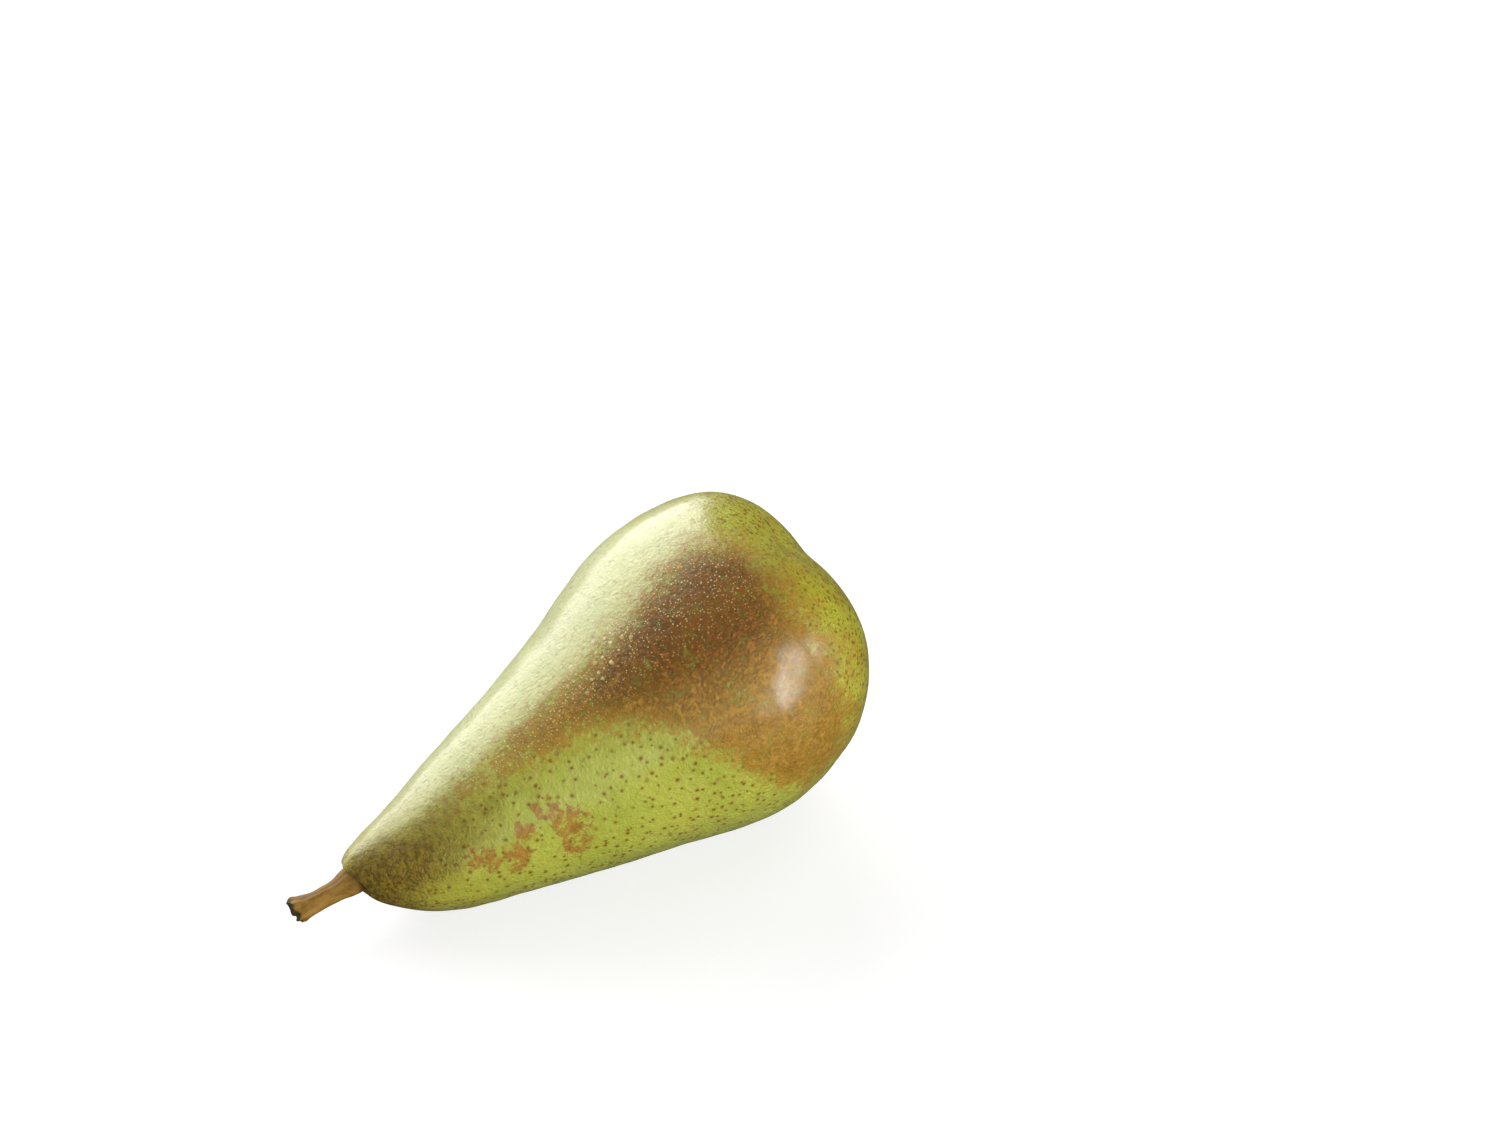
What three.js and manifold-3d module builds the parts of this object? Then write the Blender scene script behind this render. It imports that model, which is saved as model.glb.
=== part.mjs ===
// A long-necked dessert pear lying on its side, in millimetres, +Z up.
//
// The pear is drawn straight first: its axis is +X, from the neck's end at x = 0 to the blossom end, and
// "around" is the angle about that axis, from +Y towards +Z. It is then bent, tilted and set down on z = 0.
// The pieces are the fruit, the stem in its socket, five dried sepals and the tuft of stamens between them.

import * as THREE from "three";
import { mergeVertices } from "three/addons/utils/BufferGeometryUtils.js";
import Module from "manifold-3d";

const wasm = await Module();
wasm.setup();

const degrees = Math.PI / 180;
const clearance = 0.3; // kept between pieces that touch

// The fruit's outline, as [along the axis, radius], from the neck's end to the floor of the calyx basin.
const fleshOutline = [
  [1.5, 0],
  [0.5, 2.6],
  [0.4, 4.4],
  [1.8, 6.5],
  [4.6, 8.5],
  [9, 10.9],
  [18, 14.3],
  [31, 18.2],
  [46, 22.5],
  [58, 26.2],
  [68, 30.0],
  [78, 32.9],
  [88, 33.7],
  [97, 32.5],
  [105, 29.5],
  [111, 23.7],
  [114.7, 15.8],
  [115.5, 10.1],
  [114.1, 6.8],
  [112.1, 4.4],
  [111.5, 0],
];
const outlineSteps = 58;
const sidesAround = 64;

// How the flesh departs from a turned shape.
const sag = { reach: 98, side: -2.3, up: -0.3 }; // the neck bows gently to one side
const lift = { reach: 18, side: 1.9, up: 3.6 }; // the stem leaves the neck off centre, high on its end
const lobes = { count: 3, from: 84, to: 112, radial: -0.4, along: 1.2, around: 48 * degrees };
const groove = { from: 90, to: 112, depth: 2.3, width: 24 * degrees, around: 99 * degrees };

// The stem: [distance out along it, radius], from its foot in the flesh to its broken end.
const stemOutline = [
  [-5, 0],
  [-5, 1.6],
  [-2.5, 2.3],
  [0, 3.1],
  [1.8, 2.6],
  [4.5, 2.1],
  [8, 2.05],
  [11, 2.5],
  [13, 2.85],
  [14, 2.3],
  [13.8, 1.1],
  [13.6, 0],
];
const stemSteps = 30;
const stemSides = 20;
const stemPlace = { side: 1.9, up: 3.1, bentUp: 2.0 }; // its foot's centre, and how far its end is bent up

// The calyx, in its basin at the blossom end.
const basinFloor = 111.5;
const sepalCount = 5;
const sepal = { length: 6.5, width: 3.2, thickness: 0.7, root: 3.4, buried: 1.0, curl: 2.4 };
const stamens = { count: 9, length: 3.4, radius: 0.22, ring: 1.35, plate: 1.9, plateHeight: 0.7, buried: 0.4 };

// How the pear lies: on its belly and on the end of its neck, each a little flattened.
const tilt = 17 * degrees; // how much the axis rises towards the blossom end
const flatDepth = 0.6; // how much of the belly the resting flat takes off
const floorSlab = 300; // the slab that cuts the resting flats, larger than the pear

const smoothStep = THREE.MathUtils.smoothstep;

// The axis's sideways and upward offset at a distance along the straight pear.
function axisOffset(along) {
  const bow = Math.sin(Math.PI * THREE.MathUtils.clamp(along / sag.reach, 0, 1));
  const rise = Math.max(0, 1 - along / lift.reach) ** 2;
  return { side: sag.side * bow + lift.side * rise, up: sag.up * bow + lift.up * rise };
}

// Moves each vertex of a geometry with a function that changes a Vector3.
function moveVertices(geometry, move) {
  const places = geometry.getAttribute("position");
  const point = new THREE.Vector3();
  for (let i = 0; i < places.count; i++) {
    point.fromBufferAttribute(places, i);
    move(point);
    places.setXYZ(i, point.x, point.y, point.z);
  }
  return geometry;
}

// A turned shape about +X from [along, radius] pairs.
function turned(outline, steps, sides) {
  const curve = new THREE.SplineCurve(outline.map(([along, radius]) => new THREE.Vector2(radius, along)));
  const profile = curve.getSpacedPoints(steps);
  profile.forEach((p) => (p.x = Math.max(0, p.x)));
  profile[0].x = 0;
  profile[steps].x = 0;
  return new THREE.LatheGeometry(profile, sides).rotateZ(-90 * degrees);
}

function bendNeck(point) {
  const offset = axisOffset(point.x);
  point.y += offset.side;
  point.z += offset.up;
}

// Raises three soft shoulders round the blossom end, and presses one groove between two of them.
function swellLobes(point) {
  const radius = Math.hypot(point.y, point.z);
  if (radius === 0) return;
  const around = Math.atan2(point.z, point.y);
  const shoulder = THREE.MathUtils.clamp(radius / 22, 0, 1) ** 2;
  const wave = Math.cos(lobes.count * (around - lobes.around));
  const swell = wave * shoulder * smoothStep(point.x, lobes.from, lobes.to);
  const fromGroove = THREE.MathUtils.euclideanModulo(around - groove.around + Math.PI, 2 * Math.PI) - Math.PI;
  const pressed = Math.exp(-((fromGroove / groove.width) ** 2));
  const dip = groove.depth * pressed * shoulder * smoothStep(point.x, groove.from, groove.to);
  const scale = (radius + lobes.radial * swell - dip) / radius;
  point.y *= scale;
  point.z *= scale;
  point.x += lobes.along * swell - 0.6 * dip;
}

// One solid from a closed geometry, for a cut or a join.
function solidOf(geometry) {
  const bare = geometry.clone();
  bare.deleteAttribute("normal");
  bare.deleteAttribute("uv");
  const merged = mergeVertices(bare, 1e-3);
  return new wasm.Manifold(
    new wasm.Mesh({
      numProp: 3,
      vertProperties: new Float32Array(merged.getAttribute("position").array),
      triVerts: new Uint32Array(merged.index.array),
    }),
  );
}

function geometryOf(solid) {
  const mesh = solid.getMesh();
  const geometry = new THREE.BufferGeometry();
  geometry.setAttribute("position", new THREE.BufferAttribute(mesh.vertProperties, 3));
  geometry.setIndex(new THREE.BufferAttribute(mesh.triVerts, 1));
  geometry.computeVertexNormals();
  return geometry;
}

// The stem points out of the neck, along -X, and bends up towards its end.
function stemShape(grown) {
  const outline = stemOutline.map(([out, radius]) => [out, radius > 0 ? radius + grown : 0]);
  outline[0][0] -= grown;
  outline[1][0] -= grown;
  const shape = turned(outline, stemSteps, stemSides);
  const stemLength = stemOutline[stemOutline.length - 1][0];
  moveVertices(shape, (point) => {
    const share = Math.max(0, point.x) / stemLength;
    point.z += stemPlace.bentUp * share ** 2;
  });
  shape.rotateZ(180 * degrees);
  return shape.translate(0, stemPlace.side, stemPlace.up);
}

// One sepal: a pointed leaf, thick at its root, that stands up from the basin and curls out at its tip.
function sepalShape(index, grown) {
  const shape = new THREE.SphereGeometry(1, 12, 10).rotateZ(90 * degrees);
  moveVertices(shape, (point) => {
    const along = (1 + point.x) / 2; // 0 at the root, 1 at the tip
    const taper = 1 - 0.65 * along ** 1.5;
    point.x = -sepal.buried - grown + along * (sepal.length + 2 * grown);
    point.y *= taper * (sepal.width / 2 + grown);
    point.z = point.z * taper * (sepal.thickness / 2 + grown) + sepal.curl * along ** 2.2;
    point.z -= 0.12 * point.y ** 2; // the leaf is dished along its length
  });
  const turn = (index / sepalCount) * 360 * degrees + 0.25;
  return shape.translate(basinFloor, 0, sepal.root).rotateX(turn);
}

// The stamens: a withered plate in the middle of the calyx, with filaments that lean apart.
function stamenShape(grown) {
  const plateRadius = stamens.plate + grown;
  const plateHeight = stamens.plateHeight + stamens.buried + 2 * grown;
  const plate = new THREE.CylinderGeometry(plateRadius, plateRadius, plateHeight, 16)
    .rotateZ(90 * degrees)
    .translate(basinFloor + (stamens.plateHeight - stamens.buried) / 2, 0, 0);
  let solid = solidOf(plate);
  if (grown > 0) return solid;
  for (let i = 0; i < stamens.count; i++) {
    const lean = (i % 2 ? 14 : 24) * degrees;
    const filament = new THREE.CylinderGeometry(stamens.radius * 1.5, stamens.radius, stamens.length, 6)
      .translate(0, stamens.length / 2, 0)
      .rotateZ(-90 * degrees)
      .rotateY(-lean)
      .translate(basinFloor + stamens.plateHeight / 2, 0, stamens.ring)
      .rotateX((i / stamens.count) * 360 * degrees);
    solid = solid.add(solidOf(filament));
  }
  return solid;
}

// Turns a piece from the straight pear's axis to how the pear lies.
function tilted(geometry) {
  return geometry.rotateY(-tilt);
}

// The flesh, turned, shaped and tilted, with no sockets in it yet.
function fleshShape() {
  const flesh = turned(fleshOutline, outlineSteps, sidesAround);
  moveVertices(flesh, swellLobes);
  moveVertices(flesh, bendNeck);
  return tilted(flesh);
}

// How far the tilted pear moves up for its resting flats to lie in z = 0.
function restHeight() {
  const flesh = fleshShape();
  flesh.computeBoundingBox();
  return -flesh.boundingBox.min.z - flatDepth;
}

function fruitShape() {
  let solid = solidOf(fleshShape()).subtract(solidOf(tilted(stemShape(clearance))));
  for (let i = 0; i < sepalCount; i++) {
    solid = solid.subtract(solidOf(tilted(sepalShape(i, clearance))));
  }
  solid = solid.subtract(solidOf(tilted(geometryOf(stamenShape(clearance)))));
  const slab = new THREE.BoxGeometry(floorSlab, floorSlab, floorSlab);
  slab.translate(0, 0, -restHeight() - floorSlab / 2);
  return geometryOf(solid.subtract(solidOf(slab)));
}

function material(color, roughness) {
  return new THREE.MeshStandardMaterial({ color, roughness, metalness: 0 });
}

const skinMaterial = material(0xa7a843, 0.45);
const stemMaterial = material(0x7d5c28, 0.75);
const calyxMaterial = material(0x4a3419, 0.85);

const pear = new THREE.Group();

function addPiece(name, geometry, finish) {
  const mesh = new THREE.Mesh(geometry, finish);
  mesh.name = name;
  pear.add(mesh);
}

addPiece("fruit", fruitShape(), skinMaterial);
addPiece("stem", tilted(stemShape(0)), stemMaterial);
for (let i = 0; i < sepalCount; i++) {
  addPiece("sepal_" + (i + 1), tilted(sepalShape(i, 0)), calyxMaterial);
}
addPiece("stamens", tilted(geometryOf(stamenShape(0))), calyxMaterial);

// The origin is on the resting plane, under the middle of the pear's box.
const middle = new THREE.Box3().setFromObject(pear).getCenter(new THREE.Vector3());
pear.position.set(-middle.x, -middle.y, restHeight());

export default pear;
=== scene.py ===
# A long-necked pear lying on its side, with its stem and dried calyx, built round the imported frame.

import math
import random

import bpy
import numpy as np
from mathutils import Matrix, Vector, noise


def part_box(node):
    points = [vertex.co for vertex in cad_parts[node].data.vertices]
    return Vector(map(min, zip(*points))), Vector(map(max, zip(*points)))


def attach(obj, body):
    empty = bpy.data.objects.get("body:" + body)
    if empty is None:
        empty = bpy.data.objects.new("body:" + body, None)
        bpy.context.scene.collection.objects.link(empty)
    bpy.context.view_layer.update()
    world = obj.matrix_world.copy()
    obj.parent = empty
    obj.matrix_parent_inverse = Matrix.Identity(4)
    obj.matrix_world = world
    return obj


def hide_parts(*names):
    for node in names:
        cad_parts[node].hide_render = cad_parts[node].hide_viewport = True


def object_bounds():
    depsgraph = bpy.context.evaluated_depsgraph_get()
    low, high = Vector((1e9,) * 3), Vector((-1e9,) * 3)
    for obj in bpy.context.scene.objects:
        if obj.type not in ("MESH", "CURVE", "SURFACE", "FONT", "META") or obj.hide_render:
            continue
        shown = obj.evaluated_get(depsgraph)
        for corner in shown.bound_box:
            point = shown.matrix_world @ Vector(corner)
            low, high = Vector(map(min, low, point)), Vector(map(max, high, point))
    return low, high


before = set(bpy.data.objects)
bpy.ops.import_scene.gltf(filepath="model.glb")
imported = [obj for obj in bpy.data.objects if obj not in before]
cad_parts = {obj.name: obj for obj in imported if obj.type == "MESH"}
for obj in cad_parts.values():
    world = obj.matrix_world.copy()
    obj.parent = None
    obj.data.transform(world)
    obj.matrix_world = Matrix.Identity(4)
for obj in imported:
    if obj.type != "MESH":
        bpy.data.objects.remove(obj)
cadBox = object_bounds()
mm = 0.001
print("frame loaded:", ", ".join(sorted(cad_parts)))


# Small helpers.

def deselectAll():
    for thing in bpy.context.selected_objects:
        thing.select_set(False)


def startEditing(piece):
    bpy.context.view_layer.objects.active = piece
    piece.select_set(True)
    bpy.ops.object.mode_set(mode="EDIT")


def stopEditing():
    bpy.ops.object.mode_set(mode="OBJECT")


def applyModifier(piece, kind, **settings):
    modifier = piece.modifiers.new(kind.title(), kind)
    for name, value in settings.items():
        setattr(modifier, name, value)
    bpy.context.view_layer.objects.active = piece
    bpy.ops.object.modifier_apply(modifier=modifier.name)


def readPlaces(piece):  # vertex places in millimetres
    flat = np.empty(len(piece.data.vertices) * 3)
    piece.data.vertices.foreach_get("co", flat)
    return flat.reshape(-1, 3) / mm


def writePlaces(piece, places):
    piece.data.vertices.foreach_set("co", (places * mm).ravel())
    piece.data.update()


def paint(piece, name, values):  # one number at each vertex, for a material to read
    layer = piece.data.attributes.new(name, "FLOAT", "POINT")
    layer.data.foreach_set("value", np.asarray(values, dtype=np.float32))


def smooth(value, start, end):
    share = np.clip((value - start) / (end - start), 0, 1)
    return share * share * (3 - 2 * share)


def lumps(places, size, seed):  # soft noise between about -1 and 1
    offset = Vector((seed, seed * 0.7, -seed))
    return np.array([noise.noise(Vector(p) / size + offset) for p in places]) * 2


def bell(offset, width):  # 1 in the middle, falling away on both sides
    return np.exp(-(offset / width) ** 2)


def angleFrom(around, centre):  # in degrees, between -180 and 180
    return (around - centre + 180) % 360 - 180


def smoothOutline(points, step):
    # a curve through every point, with spans cut into equal shares of about one step
    points = [Vector(p) for p in points]
    last = len(points) - 1
    curve = []
    for i in range(last):
        before, start, end, after = points[max(i - 1, 0)], points[i], points[i + 1], points[min(i + 2, last)]
        leave, arrive = (end - before) / 2, (after - start) / 2
        cuts = max(2, round((end - start).length / step))
        for cut in range(cuts):
            t = cut / cuts
            curve.append(
                (2 * start - 2 * end + leave + arrive) * t ** 3
                + (3 * end - 3 * start - 2 * leave - arrive) * t ** 2
                + leave * t
                + start
            )
    curve.append(points[last])
    return curve


def spunPiece(name, outline, step, sides, fineness):
    # an outline drawn point by point from [along, radius] pairs, spun round the X axis and smoothed
    curve = smoothOutline(outline, step)
    deselectAll()
    bpy.ops.mesh.primitive_plane_add(size=0.001, location=(curve[0].x * mm, 0, 0))
    piece = bpy.context.object
    piece.name = name
    bpy.ops.object.transform_apply()
    startEditing(piece)
    bpy.ops.mesh.select_all(action="SELECT")
    bpy.ops.mesh.merge(type="CENTER")
    for start, end in zip(curve, curve[1:]):
        move = (end - start) * mm
        bpy.ops.mesh.extrude_region_move(TRANSFORM_OT_translate={"value": (move.x, move.y, 0)})
    bpy.ops.mesh.select_all(action="SELECT")
    bpy.ops.mesh.spin(steps=sides, angle=2 * math.pi, center=(0, 0, 0), axis=(1, 0, 0))
    bpy.ops.mesh.select_all(action="SELECT")
    bpy.ops.mesh.remove_doubles(threshold=0.000005)
    bpy.ops.mesh.normals_make_consistent(inside=False)
    stopEditing()
    applyModifier(piece, "SUBSURF", levels=fineness, render_levels=fineness)
    return piece


def finishPiece(piece, nodes, material):
    deselectAll()
    piece.select_set(True)
    bpy.context.view_layer.objects.active = piece
    bpy.ops.object.shade_smooth()
    piece.data.materials.clear()
    piece.data.materials.append(material)
    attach(piece, "root")
    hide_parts(*nodes)
    print("piece done:", piece.name, len(piece.data.polygons), "faces")


# How the pear is bent and how it lies.
# Lengths are in millimetres. The straight pear runs along X, from the neck's end at 0 to the blossom
# end, and an angle round it is counted in degrees from +Y towards +Z.

pose = {
    "tilt": math.radians(17),  # how much the axis rises towards the blossom end
    "bowReach": 98, "bowSide": -2.3, "bowUp": -0.3,  # the neck bows gently to one side
    "liftReach": 18, "liftSide": 1.9, "liftUp": 3.6,  # the stem leaves the neck off centre
    "shift": np.zeros(3),  # set once the skin has been laid on the frame's fruit
}


def bend(places, along):
    bow = np.sin(np.pi * np.clip(along / pose["bowReach"], 0, 1))
    rise = np.maximum(0, 1 - along / pose["liftReach"]) ** 2
    places[:, 1] += pose["bowSide"] * bow + pose["liftSide"] * rise
    places[:, 2] += pose["bowUp"] * bow + pose["liftUp"] * rise


def layDown(places):
    turn = np.array(Matrix.Rotation(-pose["tilt"], 3, "Y"))
    return places @ turn.T + pose["shift"]


# Camera.

view = {
    "lens": 85,
    "azimuth": math.radians(-33.2),
    "elevation": math.radians(35),
    "distance": 0.738,
    "target": Vector((0.0464, 0.0047, 0.0176)),  # from the middle of the pear's box, in metres
}


def placeCamera():
    low, high = cadBox
    a, e = view["azimuth"], view["elevation"]
    back = Vector((math.sin(a) * math.cos(e), -math.cos(a) * math.cos(e), math.sin(e)))
    target = (low + high) / 2 + view["target"]
    bpy.ops.object.camera_add(location=target + back * view["distance"])
    camera = bpy.context.object
    camera.rotation_euler = back.to_track_quat("Z", "Y").to_euler()
    camera.data.lens = view["lens"]
    camera.data.clip_start = 0.01
    bpy.context.scene.camera = camera


placeCamera()


# Shader groups that several materials use.

def addNode(tree, kind, **values):
    made = tree.nodes.new(kind)
    for name, value in values.items():
        if name in made.inputs:
            made.inputs[name].default_value = value
        else:
            setattr(made, name, value)
    return made


def feed(tree, source, sink):
    tree.links.new(source, sink)


def math2(tree, operation, first, second=None, third=None):
    made = tree.nodes.new("ShaderNodeMath")
    made.operation = operation
    for socket, value in zip(made.inputs, (first, second, third)):
        if value is None:
            continue
        if isinstance(value, (int, float)):
            socket.default_value = value
        else:
            feed(tree, value, socket)
    return made.outputs[0]


def ramp(tree, value, fromMin, fromMax, toMin=0.0, toMax=1.0):
    made = addNode(tree, "ShaderNodeMapRange", interpolation_type="SMOOTHSTEP")
    for name, number in (("From Min", fromMin), ("From Max", fromMax), ("To Min", toMin), ("To Max", toMax)):
        if isinstance(number, (int, float)):
            made.inputs[name].default_value = number
        else:
            feed(tree, number, made.inputs[name])
    feed(tree, value, made.inputs["Value"])
    return made.outputs[0]


def mixColor(tree, factor, first, second):
    made = tree.nodes.new("ShaderNodeMix")
    made.data_type = "RGBA"
    for socket, value in ((made.inputs[0], factor), (made.inputs[6], first), (made.inputs[7], second)):
        if isinstance(value, (int, float)):
            socket.default_value = value
        elif isinstance(value, tuple):
            socket.default_value = (*value, 1)
        else:
            feed(tree, value, socket)
    return made.outputs[2]


def newGroup(name, inputs, outputs):
    group = bpy.data.node_groups.new(name, "ShaderNodeTree")
    for label, kind, value in inputs:
        socket = group.interface.new_socket(label, in_out="INPUT", socket_type=kind)
        if value is not None:
            socket.default_value = value
    for label, kind in outputs:
        group.interface.new_socket(label, in_out="OUTPUT", socket_type=kind)
    return group, group.nodes.new("NodeGroupInput"), group.nodes.new("NodeGroupOutput")


def useGroup(tree, group, **values):
    made = tree.nodes.new("ShaderNodeGroup")
    made.node_tree = group
    for name, value in values.items():
        socket = made.inputs[name]
        if isinstance(value, (int, float)):
            socket.default_value = value
        else:
            feed(tree, value, socket)
    return made


def makeDotField():
    # scattered round dots of uneven size, each cut where the surface passes its centre
    group, given, result = newGroup(
        "dotField",
        [("Vector", "NodeSocketVector", None), ("Normal", "NodeSocketVector", None),
         ("Scale", "NodeSocketFloat", 700.0), ("Size", "NodeSocketFloat", 0.25),
         ("Softness", "NodeSocketFloat", 0.4)],
        [("Mask", "NodeSocketFloat"), ("Height", "NodeSocketFloat"), ("Random", "NodeSocketFloat")],
    )
    cells = addNode(group, "ShaderNodeTexVoronoi", feature="F1", Randomness=0.9)
    feed(group, given.outputs["Vector"], cells.inputs["Vector"])
    feed(group, given.outputs["Scale"], cells.inputs["Scale"])
    gap = addNode(group, "ShaderNodeVectorMath", operation="SUBTRACT")
    feed(group, given.outputs["Vector"], gap.inputs[0])
    feed(group, cells.outputs["Position"], gap.inputs[1])
    inCells = addNode(group, "ShaderNodeVectorMath", operation="SCALE")
    feed(group, gap.outputs[0], inCells.inputs[0])
    feed(group, given.outputs["Scale"], inCells.inputs["Scale"])
    depth = addNode(group, "ShaderNodeVectorMath", operation="DOT_PRODUCT")
    sideways = addNode(group, "ShaderNodeVectorMath", operation="CROSS_PRODUCT")
    for across in (depth, sideways):
        feed(group, inCells.outputs[0], across.inputs[0])
        feed(group, given.outputs["Normal"], across.inputs[1])
    length = addNode(group, "ShaderNodeVectorMath", operation="LENGTH")
    feed(group, sideways.outputs[0], length.inputs[0])
    near = ramp(group, math2(group, "ABSOLUTE", depth.outputs["Value"]), 0.2, 0.36, 1.0, 0.0)
    split = group.nodes.new("ShaderNodeSeparateColor")
    feed(group, cells.outputs["Color"], split.inputs[0])
    size = math2(group, "MULTIPLY", given.outputs["Size"],
                 math2(group, "MULTIPLY_ADD", split.outputs[0], 0.7, 0.6))
    inner = math2(group, "MULTIPLY", size, math2(group, "SUBTRACT", 1.0, given.outputs["Softness"]))
    mask = ramp(group, length.outputs["Value"], inner, size, 1.0, 0.0)
    share = math2(group, "DIVIDE", length.outputs["Value"], size)
    height = math2(group, "MAXIMUM", math2(group, "SUBTRACT", 1.0, math2(group, "POWER", share, 2.0)), 0.0)
    feed(group, math2(group, "MULTIPLY", mask, near), result.inputs["Mask"])
    feed(group, math2(group, "MULTIPLY", height, near), result.inputs["Height"])
    feed(group, split.outputs[1], result.inputs["Random"])
    return group


def makePatchField():
    # irregular patches with ragged edges, where the painted amount is high
    group, given, result = newGroup(
        "patchField",
        [("Vector", "NodeSocketVector", None), ("Scale", "NodeSocketFloat", 200.0),
         ("Amount", "NodeSocketFloat", 0.0), ("Edge", "NodeSocketFloat", 0.08)],
        [("Mask", "NodeSocketFloat")],
    )
    cloud = addNode(group, "ShaderNodeTexNoise", Detail=7.0, Roughness=0.72, Distortion=0.4)
    feed(group, given.outputs["Vector"], cloud.inputs["Vector"])
    feed(group, given.outputs["Scale"], cloud.inputs["Scale"])
    level = math2(group, "ADD", given.outputs["Amount"], cloud.outputs["Fac"])
    high = math2(group, "ADD", 1.0, given.outputs["Edge"])
    low = math2(group, "SUBTRACT", 1.0, given.outputs["Edge"])
    feed(group, ramp(group, level, low, high), result.inputs["Mask"])
    return group


def makeCloud():
    # soft mottling between 0 and 1
    group, given, result = newGroup(
        "cloud",
        [("Vector", "NodeSocketVector", None), ("Scale", "NodeSocketFloat", 100.0),
         ("Contrast", "NodeSocketFloat", 0.2)],
        [("Value", "NodeSocketFloat")],
    )
    cloud = addNode(group, "ShaderNodeTexNoise", Detail=4.0, Roughness=0.55)
    feed(group, given.outputs["Vector"], cloud.inputs["Vector"])
    feed(group, given.outputs["Scale"], cloud.inputs["Scale"])
    low = math2(group, "SUBTRACT", 0.5, given.outputs["Contrast"])
    high = math2(group, "ADD", 0.5, given.outputs["Contrast"])
    feed(group, ramp(group, cloud.outputs["Fac"], low, high), result.inputs["Value"])
    return group


dotField = makeDotField()
patchField = makePatchField()
cloud = makeCloud()


def newMaterial(name):
    material = bpy.data.materials.new(name)
    material.use_nodes = True
    tree = material.node_tree
    return material, tree, tree.nodes["Principled BSDF"]


def readAttribute(tree, name):
    return addNode(tree, "ShaderNodeAttribute", attribute_name=name).outputs["Fac"]


def addBump(tree, height, distance, strength, normal=None):
    made = addNode(tree, "ShaderNodeBump", Strength=strength, Distance=distance)
    feed(tree, height, made.inputs["Height"])
    if normal is not None:
        feed(tree, normal, made.inputs["Normal"])
    return made.outputs["Normal"]


# The skin.

skin = {
    "outline": [
        (5.2, 0), (5.1, 1.9), (2.6, 2.75), (1.1, 3.4), (0.5, 4.4), (1.8, 6.5), (4.6, 8.5), (9, 10.9),
        (18, 14.3), (31, 18.2), (46, 22.5), (58, 26.2), (68, 30.0), (78, 32.9), (88, 33.7), (97, 32.5),
        (105, 29.5), (111, 23.7), (114.7, 15.8), (115.5, 10.1), (114.1, 6.8), (112.1, 4.4), (111.5, 0),
    ],
    "step": 1.9, "sides": 64, "fineness": 2,
    "lobes": 3, "lobesFrom": 84, "lobesTo": 112, "lobesRadial": -0.4, "lobesAlong": 1.2, "lobesAround": 48,
    "grooveFrom": 90, "grooveTo": 112, "grooveDepth": 2.3, "grooveWidth": 24, "grooveAround": 99,
    "socketSide": 1.9, "socketUp": 3.1,  # the stem's socket
    "folds": 7, "foldDepth": 0.7,  # puckers round the calyx
    "gatherDepth": 0.25, "lipHeight": 1.9, "lipAround": 85, "lipWidth": 62,  # flesh gathered round the stem
    # russet patches, as along, around and reach; the last few are on the far side
    "russet": [
        (22, 160, 5.5), (28, 166, 5.0), (27, 176, 3.8), (37, 150, 4.8), (40, 165, 6.2), (39, 180, 4.8),
        (31, 154, 3.8), (70, 325, 9.0), (56, 300, 5.0), (84, 345, 6.0), (102, 10, 5.0), (95, 250, 6.0),
        (48, 20, 4.0),
    ],
    # the two edges that the blush lies between, as where along and how far round
    "blushUpper": ((10, 50, 70, 90, 100), (92, 98, 96, 90, 98)),
    "blushLower": ((10, 43, 53, 62, 68, 76, 86, 96), (118, 124, 130, 141, 156, 183, 206, 208)),
    "backAround": 70,
    "lump": 0.32, "lumpSize": 24, "dent": 0.07, "dentSize": 5,
    "roughness": 0.31, "specular": 0.38, "wax": 0.9, "leastWax": 0.05, "waxRoughness": 0.25,
    "glow": 0.06, "glowReach": (1.0, 0.6, 0.2), "glowScale": 0.003,  # light that spreads under the skin
    "masks": (
        "blush", "coreAndShade", "russet", "neck", "throat", "blossom",
        "pores", "glintZone", "paintedSheen", "drops", "calyx", "socket",
    ),
}

# In linear light. A pair is the dark and the light end of a mottle.
skinColors = {
    "ground": ((0.35, 0.39, 0.028), (0.48, 0.495, 0.055)),
    "paleMottle": (0.55, 0.56, 0.10),
    "blossomGround": (0.47, 0.47, 0.02),
    "blossomCloud": (0.40, 0.24, 0.015),
    "throat": (0.38, 0.28, 0.02),
    "blush": ((0.235, 0.096, 0.004), (0.445, 0.235, 0.021)),
    # the dark blush core, partly its own colour and partly painted shade
    "blushCoreAndShade": ((0.074, 0.017, 0.0004), (0.24, 0.068, 0.002)),
    # the pale tint of the painted sheen along the back
    "paintedSheen": (0.58, 0.58, 0.36),
    "lenticelHalo": (0.27, 0.17, 0.006),
    "lenticel": (0.21, 0.085, 0.001),
    "russet": ((0.32, 0.12, 0.010), (0.43, 0.195, 0.022)),
    "cork": ((0.13, 0.068, 0.004), (0.265, 0.175, 0.012)),
    # the colour of the painted glints on the beads and drops
    "glintingBead": (0.88, 0.70, 0.24),
    "basin": (0.12, 0.08, 0.02),
    # painted shade in the stem's socket
    "socket": (0.05, 0.03, 0.01),
}

# Mottles, as scale and contrast.
skinClouds = {
    "drift": (45.0, 0.22), "broad": (150.0, 0.22), "blossom": (200.0, 0.16), "netted": (300.0, 0.3),
    "mottle": (420.0, 0.25), "coarse": (540.0, 0.15), "swell": (750.0, 0.25), "grainy": (1000.0, 0.14),
}

# Scattered dots, as scale, size and softness.
skinDots = {
    "lenticel": (520.0, 0.28, 0.9), "lenticelHalo": (520.0, 0.46, 1.0), "crowdedLenticel": (800.0, 0.35, 0.6),
    "glintingBead": (1600.0, 0.28, 0.45), "drop": (560.0, 0.27, 0.35),
}

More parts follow.
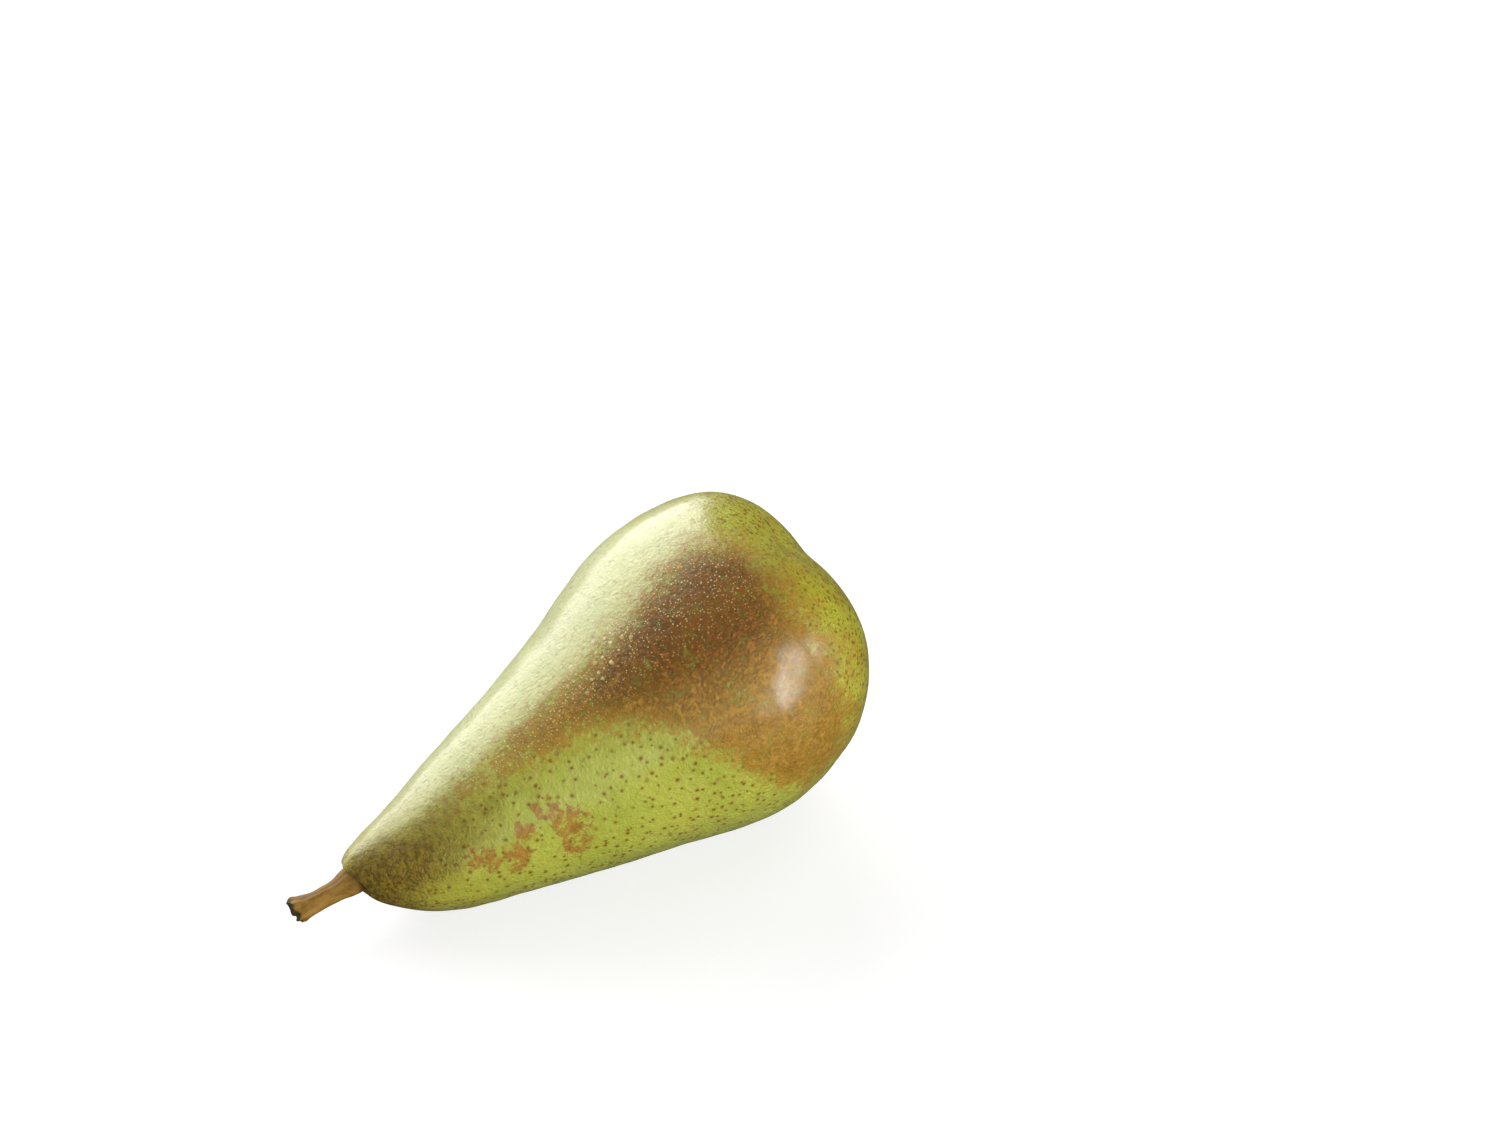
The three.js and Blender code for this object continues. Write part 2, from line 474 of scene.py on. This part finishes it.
# Bumps, as distance in metres and strength.
skinBumps = {
    "leathery": (0.0003, 0.9), "coarse": (0.00012, 0.8), "swell": (0.00012, 0.8),
    "glintingBead": (0.00015, 1.0), "drop": (0.0004, 1.0), "crust": (0.00005, 0.6),
}


def swellLobes(places):
    radius = np.hypot(places[:, 1], places[:, 2])
    around = np.degrees(np.arctan2(places[:, 2], places[:, 1]))
    shoulder = np.clip(radius / 22, 0, 1) ** 2
    wave = np.cos(skin["lobes"] * np.radians(around - skin["lobesAround"]))
    swell = wave * shoulder * smooth(places[:, 0], skin["lobesFrom"], skin["lobesTo"])
    pressed = bell(angleFrom(around, skin["grooveAround"]), skin["grooveWidth"])
    pressed *= shoulder * smooth(places[:, 0], skin["grooveFrom"], skin["grooveTo"])
    dip = skin["grooveDepth"] * pressed
    scale = 1 + (skin["lobesRadial"] * swell - dip) / np.maximum(radius, 0.01)
    places[:, 1] *= scale
    places[:, 2] *= scale
    places[:, 0] += skin["lobesAlong"] * swell - 0.6 * dip


def puckerCalyx(places, along, radius, around):
    # folds that run into the basin, uneven in depth
    near = smooth(radius, 2.0, 5.5) * (1 - smooth(radius, 8, 15)) * smooth(along, 105, 110)
    fold = np.zeros(len(places))
    rng = random.Random(4)
    for i in range(skin["folds"]):
        centre = 360 * i / skin["folds"] + rng.uniform(-14, 14)
        width = rng.uniform(8, 14)
        fold += rng.uniform(0.5, 1.0) * bell(angleFrom(around, centre), width)
    places[:, 0] -= skin["foldDepth"] * fold * near


def gatherNeck(places, along, radius, around):
    # shallow folds round the stem, and a lip of flesh that climbs the stem on its upper side
    near = smooth(radius, 2.8, 4.5) * (1 - smooth(radius, 6, 10)) * (1 - smooth(along, 5, 9))
    fold = np.cos(np.radians(around * 6)) * 0.5 + np.cos(np.radians(around * 11 + 40)) * 0.3
    places[:, 0] += skin["gatherDepth"] * fold * near
    lip = bell(angleFrom(around, skin["lipAround"]), skin["lipWidth"]) * bell(np.maximum(radius - 2.9, 0), 2.0)
    places[:, 0] -= skin["lipHeight"] * lip * smooth(radius, 2.2, 3.2) * (1 - smooth(along, 2, 5))


def paintSkin(piece, along, radius, around):
    # the masks that the skin's material reads, by where each vertex is along the straight pear and round it
    turn = around % 360
    fromBack = angleFrom(around, skin["backAround"])
    upperEdge = np.interp(along, *skin["blushUpper"])
    lowerEdge = np.interp(along, *skin["blushLower"])
    band = smooth(turn, upperEdge - 16, upperEdge + 18) * (1 - smooth(turn, lowerEdge - 17, lowerEdge + 15))
    # the blush's dark core, partly its own colour and partly painted shade where the key light turns away
    coreAndShade = bell(along - 85, 22) * bell(angleFrom(around, 119), 26)
    coreAndShade += 0.3 * bell(along - 60, 18) * bell(angleFrom(around, 116), 15)
    russet = np.zeros(len(along))
    for middle, side, reach in skin["russet"]:
        away = ((along - middle) / (1.15 * reach)) ** 2 + (angleFrom(around, side) * 0.26 / reach) ** 2
        russet = np.maximum(russet, np.exp(-away ** 1.5))
    neckReach = 8.25 + 22.55 * bell(angleFrom(around, 124), 36)
    blossom = smooth(along, 84, 110)
    grazed = smooth(turn, 82, 98) * (1 - smooth(turn, 102, 140))
    masks = {
        "blush": band * smooth(along, 2, 48) * (1 - smooth(along, 92, 112)),
        "coreAndShade": np.minimum(coreAndShade, 1) * band,
        "russet": russet,
        "neck": bell(along, neckReach) * (1 - 0.75 * bell(angleFrom(around, 72), 36)),
        "throat": 1 - smooth(along, 2, 34),
        "blossom": blossom,
        # lenticels painted fainter along the back, where the sheen lies
        "pores": 1 - 0.75 * bell(fromBack, 40) * (1 - blossom),
        # where the key light only grazes the skin, for the painted glints on the beads
        "glintZone": grazed * smooth(along, 14, 40) * (1 - smooth(along, 92, 104)),
        # painted sheen along the back, where the key light reflects
        "paintedSheen": bell(fromBack, 26) * smooth(along, 6, 22) * (1 - smooth(along, 86, 104)),
        "drops": np.exp(-(((along - 62) / 9) ** 2 + (angleFrom(around, 104) / 10) ** 2) ** 2),
        "calyx": (1 - smooth(radius, 3.0, 7.5)) * smooth(along, 100, 108),
        # painted shade in the crease round the stem
        "socket": (1 - smooth(radius, 3.0, 3.9)) * (1 - smooth(along, 3, 7)),
    }
    for name in skin["masks"]:
        paint(piece, name, masks[name])


def makeSkinMaterial():
    material, tree, shader = newMaterial("pearSkin")
    spot = tree.nodes.new("ShaderNodeTexCoord").outputs["Object"]
    facing = tree.nodes.new("ShaderNodeNewGeometry").outputs["Normal"]
    mask = {name: readAttribute(tree, name) for name in skin["masks"]}

    def clouds(name):
        scale, contrast = skinClouds[name]
        return useGroup(tree, cloud, Vector=spot, Scale=scale, Contrast=contrast).outputs["Value"]

    def dots(name):
        scale, size, softness = skinDots[name]
        return useGroup(tree, dotField, Vector=spot, Normal=facing, Scale=scale, Size=size, Softness=softness)

    def times(first, second):
        return math2(tree, "MULTIPLY", first, second)

    def timesPlus(value, factor, added):
        return math2(tree, "MULTIPLY_ADD", value, factor, added)

    def between(factor, name):
        return mixColor(tree, factor, *skinColors[name])

    def tinted(color, factor, name):
        return mixColor(tree, factor, color, skinColors[name])

    def bumped(height, name, normal=None):
        return addBump(tree, height, *skinBumps[name], normal)

    # green ground, with soft yellow drifts and a fine mottle
    color = between(clouds("drift"), "ground")
    color = tinted(color, times(clouds("mottle"), 0.4), "paleMottle")

    # yellower towards the blossom end, with orange clouds, and a warmer olive towards the neck
    color = tinted(color, times(mask["blossom"], 0.7), "blossomGround")
    color = tinted(color, times(times(mask["blossom"], clouds("blossom")), 0.55), "blossomCloud")
    color = tinted(color, times(mask["throat"], 0.5), "throat")

    # the blush breaks up into speckle and broader patches at its edges, and is darkest in its core, which is
    # partly the blush's own colour and partly painted shade where the key light turns away
    grainy, coarse = clouds("grainy"), clouds("coarse")
    blotch = timesPlus(grainy, 0.5, times(coarse, 0.5))
    speckle = timesPlus(timesPlus(grainy, 0.55, times(coarse, 0.45)), 0.7, -0.35)
    uneven = math2(tree, "ADD", speckle, timesPlus(clouds("broad"), 0.4, -0.21))
    amount = ramp(tree, math2(tree, "ADD", mask["blush"], uneven), 0.05, 0.95)
    amount = times(amount, ramp(tree, mask["blush"], 0.0, 0.2))
    amount = math2(tree, "MAXIMUM", amount, times(mask["coreAndShade"], 0.85))
    darkened = ramp(tree, timesPlus(uneven, -0.5, mask["coreAndShade"]), 0.05, 0.85)
    blush = mixColor(tree, darkened, between(blotch, "blush"), between(blotch, "blushCoreAndShade"))
    color = mixColor(tree, times(amount, 0.95), color, blush)

    # painted sheen: a thin pale tint along the back, where the key light's sheen lies
    color = tinted(color, times(mask["paintedSheen"], 0.34), "paintedSheen")

    # lenticels: dark with a soft halo on green, faint on the blush, small and crowded at the blossom end, and
    # painted fainter along the back under the sheen
    crowded = times(dots("crowdedLenticel").outputs["Mask"], mask["blossom"])
    pits = math2(tree, "MAXIMUM", dots("lenticel").outputs["Mask"], crowded)
    faded = times(timesPlus(amount, -0.65, 1.0), mask["pores"])
    color = tinted(color, times(times(dots("lenticelHalo").outputs["Mask"], faded), 0.42), "lenticelHalo")
    color = tinted(color, times(times(pits, faded), 0.95), "lenticel")

    # russet patches and the corky brown neck
    ragged = useGroup(tree, patchField, Vector=spot, Scale=380.0, Edge=0.045)
    feed(tree, times(mask["russet"], 0.54), ragged.inputs["Amount"])
    ragged = ragged.outputs["Mask"]
    color = mixColor(tree, times(ragged, 0.85), color, between(grainy, "russet"))
    brown = math2(tree, "ADD", mask["neck"], timesPlus(clouds("netted"), 0.3, -0.15))
    brown = ramp(tree, brown, 0.05, 0.95)
    color = mixColor(tree, times(brown, 0.92), color, between(grainy, "cork"))

    # painted glints: golden specks on the beads where the key light only grazes the skin, and on a few larger
    # drops
    beads, large = dots("glintingBead"), dots("drop")
    paintedGlints = times(times(beads.outputs["Mask"], mask["glintZone"]), ramp(tree, beads.outputs["Random"], 0.1, 0.6))
    paintedGlints = math2(tree, "MAXIMUM", paintedGlints, times(large.outputs["Mask"], mask["drops"]))
    color = tinted(color, times(paintedGlints, 0.95), "glintingBead")

    # darker in the calyx basin, and painted shade, nearly black, in the stem's socket
    color = tinted(color, ramp(tree, mask["calyx"], 0.1, 1.0), "basin")
    color = tinted(color, mask["socket"], "socket")
    feed(tree, color, shader.inputs["Base Color"])

    # duller where it is corky, glossy on the beads, and less waxy on the blush
    rough = timesPlus(coarse, 0.18, skin["roughness"])
    for value, change in ((brown, 0.15), (ragged, 0.15), (paintedGlints, -0.22)):
        rough = timesPlus(value, change, rough)
    feed(tree, rough, shader.inputs["Roughness"])
    waxy = skin["wax"]
    for value, change in ((amount, -0.4), (mask["coreAndShade"], -0.4), (brown, -0.85)):
        waxy = timesPlus(value, change, waxy)
    feed(tree, math2(tree, "MAXIMUM", waxy, skin["leastWax"]), shader.inputs["Coat Weight"])
    shader.inputs["Specular IOR Level"].default_value = skin["specular"]
    shader.inputs["Coat Roughness"].default_value = skin["waxRoughness"]
    shader.inputs["Subsurface Weight"].default_value = skin["glow"]
    shader.inputs["Subsurface Radius"].default_value = skin["glowReach"]
    shader.inputs["Subsurface Scale"].default_value = skin["glowScale"]

    # fine pitted grain and an orange-peel swell, under the beads
    grain = addNode(tree, "ShaderNodeTexNoise", Scale=1500.0, Detail=3.0)
    feed(tree, spot, grain.inputs["Vector"])
    normal = bumped(times(grain.outputs["Fac"], timesPlus(brown, 2.0, 1.0)), "leathery")
    normal = bumped(coarse, "coarse", normal)
    normal = bumped(clouds("swell"), "swell", normal)
    normal = bumped(times(beads.outputs["Height"], timesPlus(mask["glintZone"], 0.8, 0.2)), "glintingBead", normal)
    normal = bumped(times(large.outputs["Height"], mask["drops"]), "drop", normal)
    normal = bumped(math2(tree, "MAXIMUM", ragged, brown), "crust", normal)
    feed(tree, normal, shader.inputs["Normal"])
    return material


def makeSkin():
    piece = spunPiece("fruit_skin", skin["outline"], skin["step"], skin["sides"], skin["fineness"])
    places = readPlaces(piece)
    along = places[:, 0].copy()
    radius = np.hypot(places[:, 1], places[:, 2])
    around = np.degrees(np.arctan2(places[:, 2], places[:, 1]))
    paintSkin(piece, along, radius, around)
    swellLobes(places)
    inSocket = (1 - smooth(radius, 3.2, 4.4)) * (1 - smooth(along, 6, 8))
    straight = places.copy()
    bend(places, places[:, 0].copy())
    straight[:, 1] += skin["socketSide"]
    straight[:, 2] += skin["socketUp"]
    places += (straight - places) * inSocket[:, None]

    # laid on the frame's fruit, before the small unevenness
    low, high = (np.array(corner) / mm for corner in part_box("fruit"))
    lying = layDown(places)
    middle = (lying.min(0) + lying.max(0)) / 2
    pose["shift"] = np.array(((low[0] + high[0]) / 2 - middle[0],
                              (low[1] + high[1]) / 2 - middle[1],
                              high[2] - lying[:, 2].max()))

    puckerCalyx(places, along, radius, around)
    gatherNeck(places, along, radius, around)
    centre = np.stack((places[:, 0], np.zeros(len(places)), np.zeros(len(places))), axis=1)
    outward = (places - centre) / np.maximum(radius, 4)[:, None]
    uneven = skin["lump"] * lumps(places, skin["lumpSize"], 3)
    uneven += skin["dent"] * lumps(places, skin["dentSize"], 8)
    places += outward * (uneven * smooth(radius, 3, 8))[:, None]
    places = layDown(places)
    places[:, 2] = np.maximum(places[:, 2], 0)  # it bears on a small flat
    writePlaces(piece, places)
    finishPiece(piece, ["fruit"], makeSkinMaterial())


makeSkin()


# The stem.

stem = {
    "outline": [
        (-4.6, 0), (-4.5, 1.4), (-2.5, 2.3), (-0.2, 3.1), (1.6, 2.75), (4.5, 2.15), (8, 2.05), (11, 2.45),
        (12.8, 2.8), (13.7, 2.55), (14.0, 1.9), (13.6, 1.1), (13.3, 0),
    ],
    "step": 0.7, "sides": 32, "fineness": 1,
    "bentUp": 2.0,
    "ridges": ((5, 0.035, 20), (9, 0.025, 130), (14, 0.02, 70)),  # how many round it, how deep, turned by
    "roughness": 0.55, "specular": 0.25,
    "wood": ((0.155, 0.066, 0.006), (0.31, 0.165, 0.022)), "paleWood": (0.44, 0.30, 0.08),
    "scorched": (0.06, 0.045, 0.012), "shadedFoot": (0.10, 0.055, 0.015),
}


def makeStemMaterial():
    material, tree, shader = newMaterial("pearStem")
    spot = tree.nodes.new("ShaderNodeTexCoord").outputs["Object"]
    tip, foot = readAttribute(tree, "tip"), readAttribute(tree, "foot")
    lengthways = addNode(tree, "ShaderNodeMapping", Rotation=(0, pose["tilt"], 0), Scale=(0.12, 1, 1))
    feed(tree, spot, lengthways.inputs["Vector"])
    streaks = useGroup(tree, cloud, Vector=lengthways.outputs[0], Scale=1100.0, Contrast=0.25)
    streaks = streaks.outputs["Value"]
    fleck = useGroup(tree, cloud, Vector=spot, Scale=900.0, Contrast=0.2).outputs["Value"]
    color = mixColor(tree, streaks, *stem["wood"])
    color = mixColor(tree, math2(tree, "MULTIPLY", fleck, 0.25), color, stem["paleWood"])
    scorch = math2(tree, "ADD", tip, math2(tree, "MULTIPLY_ADD", fleck, 0.4, -0.2))
    color = mixColor(tree, ramp(tree, scorch, 0.3, 0.8), color, stem["scorched"])
    color = mixColor(tree, foot, color, stem["shadedFoot"])
    feed(tree, color, shader.inputs["Base Color"])
    feed(tree, math2(tree, "MULTIPLY_ADD", fleck, 0.15, stem["roughness"]), shader.inputs["Roughness"])
    shader.inputs["Specular IOR Level"].default_value = stem["specular"]
    normal = addBump(tree, streaks, 0.0002, 0.6)
    feed(tree, addBump(tree, fleck, 0.0001, 0.5, normal), shader.inputs["Normal"])
    return material


def makeStem():
    piece = spunPiece("woody_stem", stem["outline"], stem["step"], stem["sides"], stem["fineness"])
    places = readPlaces(piece)
    out = places[:, 0].copy()
    around = np.degrees(np.arctan2(places[:, 2], places[:, 1]))
    length = stem["outline"][-1][0]
    paint(piece, "tip", smooth(out, 12.4, 14.2))
    paint(piece, "foot", 1 - smooth(out, -0.6, 0.9))
    ridges = sum(deep * np.cos(np.radians(count * around + turn)) for count, deep, turn in stem["ridges"])
    knobbly = lumps(places, 3.2, 11) * 0.05 + lumps(places, 1.3, 17) * 0.1 * smooth(out, 11, 13.5)
    places[:, 1:] *= (1 + (ridges + knobbly) * smooth(out, -1, 2))[:, None]
    places[:, 0] += lumps(places, 1.1, 23) * 0.45 * smooth(out, 12.6, 13.6)
    share = np.clip(out / length, 0, 1)
    places[:, 2] += stem["bentUp"] * share ** 2
    places[:, :2] *= -1  # out of the neck, along -X
    places += np.array((0, skin["socketSide"], skin["socketUp"]))
    writePlaces(piece, layDown(places))
    finishPiece(piece, ["stem"], makeStemMaterial())


makeStem()


# The calyx.

calyx = {
    "floor": 111.5,  # along the pear
    "rootRadius": 3.4, "buried": 1.0,
    "length": 6.5, "width": 3.0, "curl": 2.4, "thickness": 0.32,
    "firstTurn": 0.25, "crumple": 0.28,
    "sepals": 5, "filaments": 11, "ring": 1.35, "filamentLength": 3.4, "filamentRadius": 0.26,
    "discRadius": 1.9, "discHeight": 1.1, "roughness": 0.75,
    "withered": ((0.035, 0.02, 0.008), (0.12, 0.07, 0.025)), "paleTip": (0.42, 0.33, 0.18),
}


def makeCalyxMaterial():
    material, tree, shader = newMaterial("witheredCalyx")
    spot = tree.nodes.new("ShaderNodeTexCoord").outputs["Object"]
    fleck = useGroup(tree, cloud, Vector=spot, Scale=1100.0, Contrast=0.2).outputs["Value"]
    pale = readAttribute(tree, "pale")
    color = mixColor(tree, fleck, *calyx["withered"])
    color = mixColor(tree, math2(tree, "MULTIPLY", pale, fleck), color, calyx["paleTip"])
    feed(tree, color, shader.inputs["Base Color"])
    shader.inputs["Roughness"].default_value = calyx["roughness"]
    feed(tree, addBump(tree, fleck, 0.00015, 0.7), shader.inputs["Normal"])
    return material


calyxMaterial = makeCalyxMaterial()


def makeSepal(index):
    # a pointed leaf from a grid, cupped, curled back and crumpled
    rng = random.Random(30 + index)
    deselectAll()
    bpy.ops.mesh.primitive_grid_add(x_subdivisions=14, y_subdivisions=8, size=2 * mm)
    piece = bpy.context.object
    piece.name = f"sepal_leaf_{index + 1}"
    places = readPlaces(piece)
    share, across = (places[:, 0] + 1) / 2, places[:, 1]
    reach = calyx["length"] * rng.uniform(0.85, 1.0)
    curl = calyx["curl"] * rng.uniform(0.7, 1.15)
    halfWidth = calyx["width"] / 2 * (1 - share) ** 0.75 * (1 + 0.35 * share) + 0.12
    leaf = np.zeros_like(places)
    leaf[:, 0] = -calyx["buried"] + share * (reach + calyx["buried"])
    leaf[:, 1] = across * halfWidth + 0.5 * rng.uniform(-1, 1) * share ** 2
    leaf[:, 2] = curl * share ** 2.2 - 0.45 * (across ** 2) * (1 - share) + 0.25 * np.abs(across) * share
    twist = rng.uniform(-0.6, 0.6) * share * across * halfWidth
    leaf[:, 2] += twist + calyx["crumple"] * lumps(leaf, 1.6, 40 + index) * smooth(share, 0.1, 0.6)
    paint(piece, "pale", smooth(share, 0.5, 1.0) * (0.9 if index == 1 else 0.35))
    turn = 2 * math.pi * index / calyx["sepals"] + calyx["firstTurn"]
    spun = np.array(Matrix.Rotation(turn, 3, "X"))
    leaf = (leaf + np.array((calyx["floor"], 0, calyx["rootRadius"]))) @ spun.T
    writePlaces(piece, layDown(leaf))
    applyModifier(piece, "SOLIDIFY", thickness=calyx["thickness"] * mm, offset=0)
    applyModifier(piece, "SUBSURF", levels=1, render_levels=1)
    finishPiece(piece, [f"sepal_{index + 1}"], calyxMaterial)


def makeFilament(index):
    # a thin stalk drawn out of a circle, bent as it goes, with a shrivelled knob at its end
    rng = random.Random(70 + index)
    deselectAll()
    bpy.ops.mesh.primitive_circle_add(vertices=8, radius=calyx["filamentRadius"] * mm, fill_type="NGON")
    piece = bpy.context.object
    startEditing(piece)
    bpy.ops.mesh.select_all(action="SELECT")
    lean = rng.uniform(-0.14, 0.16)
    for size in (0.8, 0.85, 0.95, 1.0, 1.0, 1.7, 1.15, 0.5):
        rise = calyx["filamentLength"] / 8 * mm
        bpy.ops.mesh.extrude_region_move(TRANSFORM_OT_translate={"value": (lean * rise * 2, 0, rise)})
        bpy.ops.transform.resize(value=(size, size, 1))
        lean += rng.uniform(-0.25, 0.25)
    bpy.ops.mesh.select_all(action="SELECT")
    bpy.ops.mesh.normals_make_consistent(inside=False)
    stopEditing()
    return piece


def makeStamens():
    deselectAll()
    radius, height = calyx["discRadius"] * mm, calyx["discHeight"] * mm
    bpy.ops.mesh.primitive_cylinder_add(vertices=20, radius=radius, depth=height)
    disc = bpy.context.object
    disc.name = "stamen_tuft"
    startEditing(disc)
    bpy.ops.mesh.select_all(action="SELECT")
    bpy.ops.mesh.bevel(offset=0.25 * mm, segments=2, affect="EDGES")
    stopEditing()
    applyModifier(disc, "SUBSURF", levels=1, render_levels=1)
    filaments = []
    rng = random.Random(9)
    for i in range(calyx["filaments"]):
        piece = makeFilament(i)
        angle = 2 * math.pi * i / calyx["filaments"] + rng.uniform(-0.2, 0.2)
        ring = calyx["ring"] * rng.uniform(0.35, 1.0)
        tip = Matrix.Rotation(rng.uniform(0.1, 0.45), 4, Vector((-math.sin(angle), math.cos(angle), 0)))
        place = Matrix.Translation(Vector((math.cos(angle), math.sin(angle), 0)) * ring * mm)
        piece.data.transform(place @ tip @ Matrix.Rotation(rng.uniform(0, 6.28), 4, "Z"))
        filaments.append(piece)
    deselectAll()
    for piece in filaments:
        piece.select_set(True)
    disc.select_set(True)
    bpy.context.view_layer.objects.active = disc
    bpy.ops.object.join()
    places = readPlaces(disc)
    places = np.stack((places[:, 2] + calyx["floor"] + 0.2, places[:, 0], places[:, 1]), axis=1)
    places[:, 1:] *= (1 + 0.08 * lumps(places, 0.9, 5))[:, None]
    paint(disc, "pale", 0.3 * smooth(places[:, 0], calyx["floor"] + 1, calyx["floor"] + 4))
    writePlaces(disc, layDown(places))
    finishPiece(disc, ["stamens"], calyxMaterial)


for i in range(calyx["sepals"]):
    makeSepal(i)
makeStamens()


# Floor and lights.

studio = {
    "floorSize": 6.0, "floorColor": (0.34, 0.34, 0.335, 1), "floorRoughness": 0.9, "floorLift": 0.74,
    "worldColor": (1.0, 1.0, 0.99, 1), "worldStrength": 0.08,
    "cardSize": 0.7, "cardPlace": (-0.27, 0.36, 0.002), "cardGlow": 0.12,
    "middle": Vector((0.01, 0, 0.03)),  # what the lights point at
}

softboxes = {
    "key": {
        "place": (-0.06, 0.85, 0.5), "size": (1.45, 1.02), "lean": (0, 0, 1),
        "power": 19.5, "shines": True,
    },
    "strip": {
        "place": (0.43, -0.70, 0.14), "size": (0.14, 0.32), "lean": (0.29, 0.27, 0.49),
        "power": 3.8, "shines": True,
    },
    "front": {
        "place": (-0.42, -0.85, 0.33), "size": (0.9, 0.8), "lean": (0, 0, 1),
        "power": 6.2, "shines": False,
    },
    "sill": {
        "place": (-0.2, -0.95, 0.06), "size": (0.7, 0.16), "lean": (0, 0, 1),
        "power": 0.45, "shines": True,
    },
    "top": {
        "place": (0.5, 0.0, 0.75), "size": (0.7, 0.7), "lean": (0, 1, 0),
        "power": 2.0, "shines": False,
    },
}


def addFloor():
    bpy.ops.mesh.primitive_plane_add(size=studio["floorSize"], location=(0, 0, 0))
    floor = bpy.context.object
    floor.name = "studio_floor"
    material, tree, shader = newMaterial("paleFloor")
    shader.inputs["Base Color"].default_value = studio["floorColor"]
    shader.inputs["Roughness"].default_value = studio["floorRoughness"]
    shader.inputs["Emission Color"].default_value = (1, 1, 1, 1)
    seen = tree.nodes.new("ShaderNodeLightPath").outputs["Is Camera Ray"]
    feed(tree, math2(tree, "MULTIPLY", seen, studio["floorLift"]), shader.inputs["Emission Strength"])
    floor.data.materials.append(material)
    floor.visible_glossy = False


def addCard():
    # a dim card on the floor behind the pear, which only its gloss sees
    bpy.ops.mesh.primitive_plane_add(size=1, location=(0, 0, 0))
    card = bpy.context.object
    card.name = "studio_card"
    deselectAll()
    startEditing(card)
    bpy.ops.mesh.select_all(action="SELECT")
    bpy.ops.transform.resize(value=(studio["cardSize"], studio["cardSize"], 1))
    bpy.ops.transform.translate(value=studio["cardPlace"])
    stopEditing()
    material, tree, shader = newMaterial("whiteCard")
    shader.inputs["Base Color"].default_value = (0, 0, 0, 1)
    shader.inputs["Emission Color"].default_value = (1, 1, 1, 1)
    shader.inputs["Emission Strength"].default_value = studio["cardGlow"]
    card.data.materials.append(material)
    card.visible_camera = card.visible_diffuse = card.visible_shadow = False


def addSoftbox(name, box):
    bpy.ops.object.light_add(type="AREA", location=box["place"])
    light = bpy.context.object
    light.name = name
    light.data.shape = "RECTANGLE"
    light.data.size, light.data.size_y = box["size"]
    light.data.energy = box["power"]
    light.visible_glossy = box["shines"]
    facing = (Vector(box["place"]) - studio["middle"]).normalized()
    side = Vector(box["lean"]).cross(facing).normalized()
    light.rotation_euler = Matrix((side, facing.cross(side), facing)).transposed().to_euler()


def lightStage():
    for name, box in softboxes.items():
        addSoftbox(name, box)
    world = bpy.data.worlds.new("softSurround")
    bpy.context.scene.world = world
    world.use_nodes = True
    backdrop = world.node_tree.nodes["Background"]
    backdrop.inputs["Color"].default_value = studio["worldColor"]
    backdrop.inputs["Strength"].default_value = studio["worldStrength"]
    bpy.context.scene.view_settings.view_transform = "Standard"


addFloor()
addCard()
lightStage()
print("floor and lights set")
